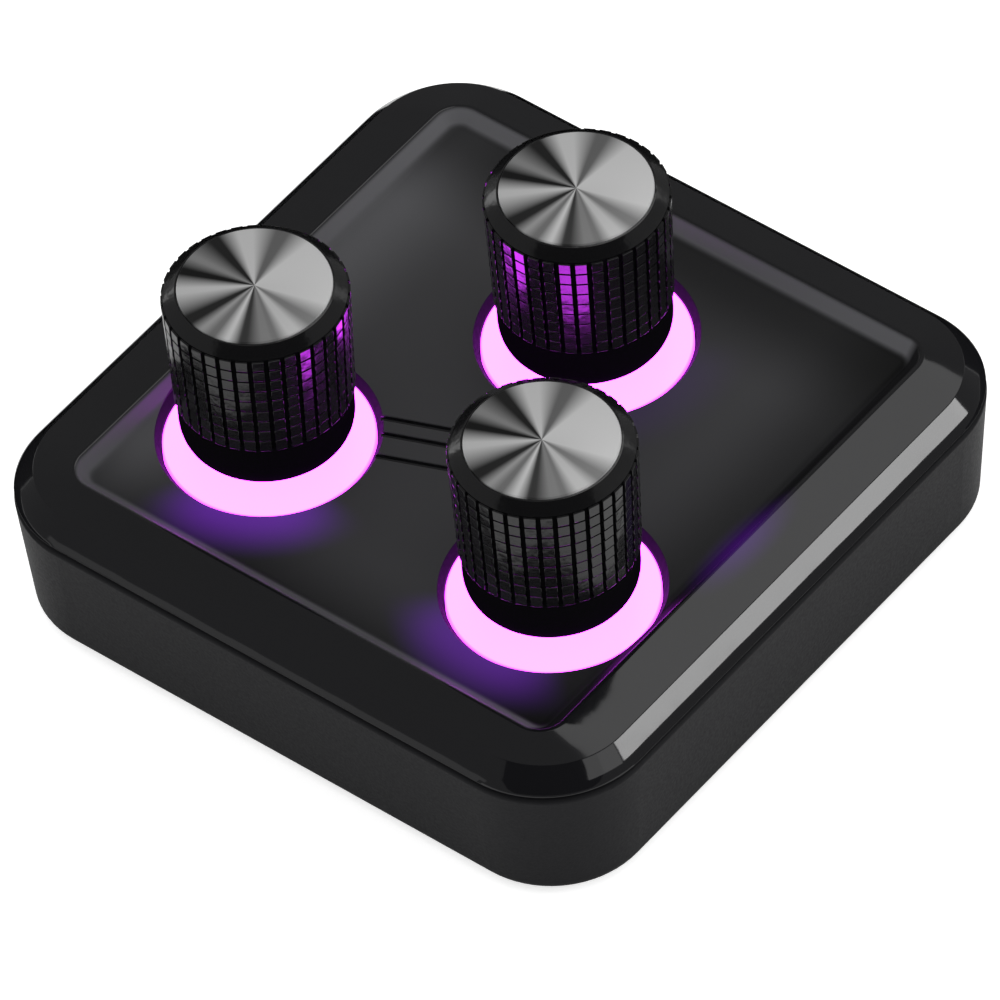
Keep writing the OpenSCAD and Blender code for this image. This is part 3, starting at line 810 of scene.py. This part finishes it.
    def line_cutter(self, index: int, route: list[Vector]) -> Object:
        """Makes the cutter of one sunk line: narrow below, flared at the floor.

        Args:
            index: number for its name.
            route: its middle line.

        Returns:
            The closed cutter.
        """
        bm = bmesh.new()
        half, (flare, deep) = self.line_w / 2, self.line_chamfer
        levels = [(half - self.line_draft, self.floor_z - self.line_depth),
                  (half, self.floor_z - deep), (half + flare, self.floor_z),
                  (half + flare, self.floor_z + self.overcut)]
        ways = [(end - start).normalized() for start, end in zip(route, route[1:])]
        rings = []
        for point, before, after in zip(route, ways[:1] + ways, ways + ways[-1:]):
            across = Vector((-before.y - after.y, before.x + after.x)).normalized()
            across /= across.dot(Vector((-before.y, before.x)))
            sides = [(s * w, z) for s, row in ((1, levels), (-1, levels[::-1]))
                     for w, z in row]
            ring = [bm.verts.new((point.x + across.x * w, point.y + across.y * w, z))
                    for w, z in sides]
            rings.append([bm.edges.new(p) for p in zip(ring, ring[1:] + ring[:1])])
            if point in (route[0], route[-1]):
                bm.faces.new(ring)
        for one, two in zip(rings, rings[1:]):
            bmesh.ops.bridge_loops(bm, edges=one + two)
        return piece(bm, f"line_cutter_{index}", COVER_BLACK.material())

    def build(self) -> Object:
        """Builds, cuts and dresses the cover.

        Returns:
            The cover.
        """
        obj = piece(self.shell(), "cover_polished", COVER_BLACK.material())
        cut(obj, self.seats())
        cut(obj, [self.line_cutter(i, r) for i, r in enumerate(self.routes())])
        obj.data.set_sharp_from_angle(angle=math.radians(self.sharp))
        weigh = obj.modifiers.new("even_shading", "WEIGHTED_NORMAL")
        weigh.keep_sharp = True
        weigh.weight = self.shading_weight
        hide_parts("top_cover")
        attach(obj, "case")
        return obj


# ---- Knobs and rings ----

@dataclass
class LightRing:
    """The lit diffuser round a knob, with its eased edges."""

    side: Side
    inner_r: float = 4.3
    neck_r: float = 7.6
    outer_r: float = 8.5
    under_z: float = 11.8
    seat_z: float = 12.65
    top_z: float = 13.35
    edge: float = 0.15
    edge_steps: int = 3
    steps: int = 128

    def build(self) -> Object:
        """Builds and dresses the ring.

        Returns:
            The ring.
        """
        bm = spun([(self.inner_r, self.under_z), (self.neck_r, self.under_z),
                   (self.neck_r, self.seat_z), (self.outer_r, self.seat_z),
                   (self.outer_r, self.top_z), (self.inner_r, self.top_z)],
                  self.steps, self.side.centre)
        rim = [e for e in bm.edges
               if all(abs(v.co.z - self.top_z) < MERGE for v in e.verts)
               and len(e.link_faces) == 2 and e.calc_face_angle() > CORNER]
        ease(bm, rim, self.edge, self.edge_steps)
        finish = LitDiffuser(f"lit_diffuser_{self.side.tag}", "#5c4466", 0.35,
                             centre=self.side.centre)
        obj = piece(bm, f"glow_ring_{self.side.tag}", finish.material())
        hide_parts(f"light_ring_{self.side.tag}")
        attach(obj, "case")
        return obj


@dataclass
class Knob:
    """One knurled knob: a smooth skirt, rows of small pads and a turned cap."""

    side: Side
    foot_z: float = 15.1
    rim_z: float = 29.95
    top_z: float = 30.85
    rim_r: float = 7.45
    cap_r: float = 6.15
    seat_r: float = 6.2
    bore_r: float = 5.8
    taper: float = 0.3
    rows: int = 9
    row_pitch: float = 1.17
    row_groove: float = 0.16
    row_depth: float = 0.1
    columns: int = 36
    flute_w: float = 0.38
    flute_depth: float = 0.3
    skirt_r: float = 7.0
    skirt_chamfer: Point = (0.1, 0.15)
    round_h: float = 1.6
    round_w: float = 0.8
    round_steps: int = 6
    # Corners of the rim's section: out from the flutes' root and up from rim_z
    rim_section: tuple[Point, ...] = ((0.0, -0.3), (0.12, 0.02), (-0.1, 0.2))
    # Corners of the cap's seat: out from seat_r and up from top_z
    seat_section: tuple[Point, ...] = ((0.12, -0.16), (0.0, -0.14), (0.0, -0.9))
    cap_h: float = 0.9
    cap_edge: float = 0.12
    cap_edge_steps: int = 3
    bar_depth: float = 0.4
    bar_inset: Point = (0.06, 0.1)
    pad_depth: float = 0.5
    pad_sink: float = 0.02
    pad_pivot: float = 0.03
    pad_edge: float = 0.03
    pad_edge_steps: int = 2
    pad_lean: float = 1.5
    pad_step: float = 0.75
    steps: int = 144
    sharp: float = 20.0

    @property
    def grip_z(self) -> float:
        """Height of the lowest pad's underside."""
        return self.rim_z - self.rows * self.row_pitch

    def body(self) -> BMesh:
        """Builds the skirt, the wall behind the pads and the sloping rim.

        Returns:
            Their mesh, round the origin.
        """
        turns = [math.pi / 2 * k / self.round_steps for k in range(self.round_steps + 1)]
        foot = [(self.skirt_r - self.round_w * (1 - math.sin(a)),
                 self.foot_z + self.round_h * (1 - math.cos(a))) for a in turns]
        root = self.rim_r - self.flute_depth
        across, up = self.skirt_chamfer
        rim = [(root + x, self.rim_z + z) for x, z in self.rim_section]
        seat = [(self.seat_r + x, self.top_z + z) for x, z in self.seat_section]
        return spun([(self.bore_r, self.foot_z), *foot, (self.skirt_r, self.grip_z - up),
                     (self.skirt_r - across, self.grip_z), (root - self.taper, self.grip_z),
                     *rim, *seat, (self.bore_r, self.top_z - self.cap_h)],
                    self.steps, Vector())

    def column(self) -> BMesh:
        """Builds one upright bar with its pads, on the X side of the axis.

        Returns:
            Their mesh, for a knob at the origin.
        """
        bm = bmesh.new()
        pitch = math.tau * self.rim_r / self.columns
        width = pitch - self.flute_w
        height = self.rows * self.row_pitch
        bar = bmesh.ops.create_cube(bm, size=1.0)["verts"]
        bmesh.ops.scale(bm, verts=bar, vec=(self.bar_depth, width - self.bar_inset[0],
                                            height - self.bar_inset[1]))
        bmesh.ops.translate(bm, verts=bar, vec=(-self.row_depth - self.bar_depth / 2, 0.0,
                                                -height / 2))
        low = [v for v in bar if v.co.z < -height / 2]
        bmesh.ops.translate(bm, verts=low, vec=(-self.taper, 0.0, 0.0))
        pad = bmesh.ops.create_cube(bm, size=1.0)["verts"]
        tall = self.row_pitch - self.row_groove
        bmesh.ops.scale(bm, verts=pad, vec=(self.pad_depth, width, tall))
        front = [e for e in {e for v in pad for e in v.link_edges}
                 if any(v.co.x > 0 for v in e.verts)]
        ease(bm, front, self.pad_edge, self.pad_edge_steps)
        pad = [v for v in bm.verts if v not in bar]
        bmesh.ops.translate(bm, verts=pad, vec=(-self.pad_depth / 2, 0.0,
                                                -self.row_pitch / 2))
        faces = list({f for v in pad for f in v.link_faces})
        for row in range(1, self.rows):
            made = bmesh.ops.duplicate(bm, geom=faces)["geom"]
            self.set_pad(bm, [g for g in made if isinstance(g, BMVert)], row)
        self.set_pad(bm, pad, 0)
        for face in bm.faces:
            face.material_index = 1
        bmesh.ops.translate(bm, verts=bm.verts, vec=(self.rim_r, 0.0, self.rim_z))
        return bm

    def set_pad(self, bm: BMesh, verts: list[BMVert], row: int) -> None:
        """Moves a pad down to its row and tips it: the lower the row, the further up.

        Args:
            bm: the mesh.
            verts: the pad's corners, as in the top row.
            row: its row, from 0 at the top.
        """
        tip = Matrix.Rotation(math.radians(self.pad_lean - row * self.pad_step), 3, "Y")
        bmesh.ops.rotate(bm, verts=verts, matrix=tip,
                         cent=(-self.pad_pivot, 0.0, -self.row_pitch / 2))
        inwards = row * self.taper / self.rows + self.pad_sink
        bmesh.ops.translate(bm, verts=verts, vec=(-inwards, 0.0, -row * self.row_pitch))

    def sleeve(self) -> Object:
        """Builds the knurled sleeve.

        Returns:
            The sleeve.
        """
        bm = self.body()
        # Faces above the rim take the shiny finish; the skirt below keeps the painted-shade
        # one
        for face in bm.faces:
            face.material_index = int(face.calc_center_median().z > self.rim_z)
        column = self.column()
        strip = bpy.data.meshes.new("strip")
        column.to_mesh(strip)
        column.free()
        for index in range(self.columns):
            strip.transform(Matrix.Rotation(math.tau / self.columns, 4, "Z"))
            bm.from_mesh(strip)
        bpy.data.meshes.remove(strip)
        bmesh.ops.translate(bm, vec=self.side.centre, verts=bm.verts)
        obj = piece(bm, f"knob_grip_{self.side.tag}", SHADED_SKIRT_BLACK.material(), self.sharp)
        obj.data.materials.append(KNOB_BLACK.material())
        return obj

    def cap(self) -> Object:
        """Builds the turned cap disc with its eased edge.

        Returns:
            The disc.
        """
        low = self.top_z - self.cap_h
        bm = spun([(0.0, low), (self.cap_r, low), (self.cap_r, self.top_z),
                   (0.0, self.top_z)], self.steps, self.side.centre)
        rim = [e for e in bm.edges if len(e.link_faces) == 2
               and e.calc_face_angle() > CORNER and e.verts[0].co.z > low + self.cap_h / 2]
        ease(bm, rim, self.cap_edge, self.cap_edge_steps)
        finish = TurnedMetal(f"turned_aluminium_{self.side.tag}", "#b4b4b4", 0.35,
                             metallic=0.4, anisotropic=0.5, fans=PAINTED_FANS,
                             centre=self.side.centre)
        return piece(bm, f"knob_disc_{self.side.tag}", finish.material())

    def build(self) -> list[Object]:
        """Builds and dresses the knob's two outer pieces.

        Returns:
            The sleeve and the cap.
        """
        tag = self.side.tag
        made = [(self.sleeve(), "knob_sleeve_", "knob_plastic"),
                (self.cap(), "knob_cap_", "cap_aluminium")]
        for obj, node, slot in made:
            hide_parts(node + tag)
            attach(obj, f"knob_{tag}")
        return [obj for obj, _, _ in made]


@dataclass
class SnapDome:
    """The push switch's steel dome, built at rest; the real one flattens under the plunger.
    """

    side: Side
    foot_z: float = 6.5
    height: float = 0.74
    sheet: float = 0.1
    foot_r: float = 2.7
    flat_r: float = 1.4
    pressed: float = 1 / 3
    steps: int = 96

    def build(self) -> Object:
        """Builds and dresses the dome.

        Returns:
            The dome.
        """
        tag, top = self.side.tag, self.foot_z + self.height
        low = top - self.sheet
        bm = spun([(0.0, low), (self.flat_r - self.sheet / 2, low),
                   (self.foot_r - self.sheet, self.foot_z), (self.foot_r, self.foot_z),
                   (self.foot_r, self.foot_z + self.sheet), (self.flat_r, top), (0.0, top)],
                  self.steps, self.side.centre)
        obj = piece(bm, f"snap_dome_{tag}", SPRING.material())
        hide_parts(f"push_dome_{tag}")
        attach(obj, "case")
        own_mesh(obj)
        return obj


@dataclass
class Solids:
    """The pieces that keep their own solid and only get a finish."""

    single: dict[str, Finish] = field(default_factory=lambda: {
        "base_shell": CASE_BLACK, "circuit_board": SOLDER_MASK, "controller_chip": EPOXY,
        "socket_shell": NICKEL, "socket_tongue": NYLON_BLACK, "case_screws": ZINC,
        **{f"foot_{end}_{way}": RUBBER for end in ("front", "back")
           for way in ("left", "right")}})
    per_knob: dict[str, Finish] = field(default_factory=lambda: {
        "ring_leds": LED_WHITE, "encoder_housing": NYLON_BLACK,
        "encoder_bushing": CAST_ZINC, "encoder_clip": NICKEL, "encoder_pins": TIN,
        "detent_spring": SPRING, "push_plunger": NYLON_WHITE,
        "shaft": SHAFT, "knob_core": NYLON_BLACK})

    def dress(self) -> int:
        """Gives each solid its finish.

        Returns:
            How many solids there are.
        """
        finishes = self.single | {f"{stem}_{side.tag}": finish for side in Side
                                  for stem, finish in self.per_knob.items()}
        for name, finish in finishes.items():
            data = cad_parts[name].data
            data.materials.clear()
            data.materials.append(finish.material())
        return len(finishes)


# ---- Studio ----

@dataclass
class Softbox:
    """A lamp panel that faces the pad."""

    name: str
    place: Triple
    size: Point
    radiance: float
    turn: float = 0.0

    def build(self) -> None:
        """Places the panel as a lamp."""
        data = bpy.data.lights.new(self.name, "AREA")
        data.shape = "RECTANGLE"
        data.size, data.size_y = (side * MM for side in self.size)
        data.energy = self.radiance * math.pi * data.size * data.size_y
        obj = bpy.data.objects.new(self.name, data)
        obj.matrix_world = (facing(Vector(self.place) * MM)
                            @ Matrix.Rotation(math.radians(self.turn), 4, "Z"))
        obj.visible_camera = False
        bpy.context.scene.collection.objects.link(obj)


@dataclass
class Studio:
    """Pale floor, even light, and what only reflections see: tent, flags and panels."""

    floor_size: float = 8000.0
    floor_lift: float = 0.6
    dullness: float = 0.9
    sheen: float = 0.1
    flag_edge: Point = (-46.0, 44.0)
    flag_painted_glow_reach: float = 1150.0
    flag_front: float = -150.0
    flag_z: float = 0.3
    front_flag: Triple = (312.0, -354.0, 517.0)
    front_flag_half: float = 560.0
    tent_r: float = 1200.0
    tent_foot: float = 10.0
    tent_steps: int = 32
    tent_radiance: float = 0.2
    world: float = 0.86
    panels: list[Softbox] = field(default_factory=lambda: [
        Softbox("overhead", (-80, 250, 425), (95, 205), 1.2, -20.7),
        Softbox("side_strip", (450, 310, 248), (290, 60), 7.4, -22.9),
        Softbox("corner_patch", (409, 9, 272), (262, 80), 1.25, -16),
        Softbox("band_front", (-223, -430, 127), (200, 90), 0.38),
        Softbox("low_left", (-550, 82, 162), (160, 120), 1.7),
        Softbox("low_back", (77, 520, 240), (160, 120), 0.6),
    ])

    def plain(self, name: str, color: str, glow: float = 0.0) -> Graph:
        """Makes the plain finish of the floor, the tent or the flags.

        Args:
            name: the finish's name.
            color: its colour.
            glow: its own radiance.

        Returns:
            The material with its nodes.
        """
        graph = Graph(name)
        graph.surface({"Base Color": linear(color), "Roughness": self.dullness,
                       "Specular IOR Level": self.sheen, "Emission Color": WHITE,
                       "Emission Strength": glow})
        return graph

    def floor(self) -> Object:
        """Builds the pale floor, which the camera alone sees lifted to near white.

        Returns:
            The floor.
        """
        bm = bmesh.new()
        bmesh.ops.create_grid(bm, x_segments=1, y_segments=1,
                              size=self.floor_size / 2)
        paint = self.plain("pale_floor", "#f8f8f8")
        seen = paint.add("LightPath").outputs["Is Camera Ray"]
        paint.surface({"Emission Strength": paint.maths("MULTIPLY", seen, self.floor_lift)})
        return piece(bm, "floor", paint.material)

    def tent(self) -> Object:
        """Builds the dim cloth dome that polished faces mirror.

        Returns:
            The tent.
        """
        bm = bmesh.new()
        bmesh.ops.create_uvsphere(bm, u_segments=self.tent_steps, radius=self.tent_r,
                                  v_segments=self.tent_steps // 2)
        bmesh.ops.bisect_plane(bm, geom=bm.verts[:] + bm.edges[:] + bm.faces[:],
                               plane_co=(0.0, 0.0, self.tent_foot),
                               plane_no=(0.0, 0.0, 1.0), clear_inner=True)
        cloth = self.plain("tent_cloth", "#000000", self.tent_radiance)
        return piece(bm, "tent", cloth.material)

    def flags(self) -> Object:
        """Builds the black flags: on the floor to the left and behind, and in front.

        Returns:
            The flags.
        """
        bm = bmesh.new()
        far, near, (left, back) = self.flag_painted_glow_reach, self.flag_front, self.flag_edge
        for corners in (((-far, near), (left, near), (left, far), (-far, far)),
                        ((left, back), (far, back), (far, far), (left, far))):
            bm.faces.new([bm.verts.new((x, y, self.flag_z)) for x, y in corners])
        made = bmesh.ops.create_grid(bm, x_segments=1, y_segments=1,
                                     size=self.front_flag_half)["verts"]
        bmesh.ops.transform(bm, verts=made, matrix=facing(Vector(self.front_flag)))
        return piece(bm, "flags", self.plain("black_velvet", "#000000").material)

    def build(self) -> None:
        """Builds the floor, the tent, the flags, the panels and the even light."""
        floor, tent, flags = self.floor(), self.tent(), self.flags()
        for card in (tent, flags):
            card.visible_camera = card.visible_diffuse = card.visible_shadow = False
            card.visible_transmission = False
        for panel in self.panels:
            panel.build()
        world = bpy.data.worlds.new("studio")
        bpy.context.scene.world = world
        world.use_nodes = True
        sky = world.node_tree.nodes["Background"]
        sky.inputs["Color"].default_value = WHITE
        sky.inputs["Strength"].default_value = self.world


@dataclass
class Viewpoint:
    """Where the camera stands, with its clip distances in metres."""

    azimuth: float = 41.34
    elevation: float = 47.58
    roll: float = -4.61
    distance: float = 1063.86
    lens: float = 481.3
    sensor: float = 36.0
    clip: Point = (0.01, 20.0)
    slide: Point = (0.67, -2.60)
    aim_z: float = 0.8

    def build(self) -> None:
        """Places the camera and makes it the scene's own."""
        angles = ((self.azimuth, "Z"), (90.0 - self.elevation, "X"), (self.roll, "Z"))
        turn, tilt, roll = (Matrix.Rotation(math.radians(angle), 4, axis)
                            for angle, axis in angles)
        aim = Matrix.Translation((0.0, 0.0, self.aim_z * MM))
        across, up = self.slide
        back = Matrix.Translation(Vector((-across, -up, self.distance)) * MM)
        data = bpy.data.cameras.new("camera")
        data.lens, data.sensor_width = self.lens, self.sensor
        data.clip_start, data.clip_end = self.clip
        obj = bpy.data.objects.new("camera", data)
        obj.matrix_world = aim @ turn @ tilt @ roll @ back
        bpy.context.scene.collection.objects.link(obj)
        bpy.context.scene.camera = obj


def main() -> None:
    """Builds the camera, the pad's pieces and the studio, in that order."""
    logging.basicConfig(level=logging.INFO, format="%(name)s: %(message)s")
    Viewpoint().build()
    made = [TopCover().build()]
    for side in Side:
        made.append(LightRing(side).build())
        made += Knob(side).build()
        made.append(SnapDome(side).build())
    for obj in made:
        log.info("%s: %d faces", obj.name, len(obj.data.polygons))
    log.info("%d solids dressed", Solids().dress())
    Studio().build()
    bpy.context.scene.view_settings.view_transform = "Standard"


if __name__ == "__main__":
    main()
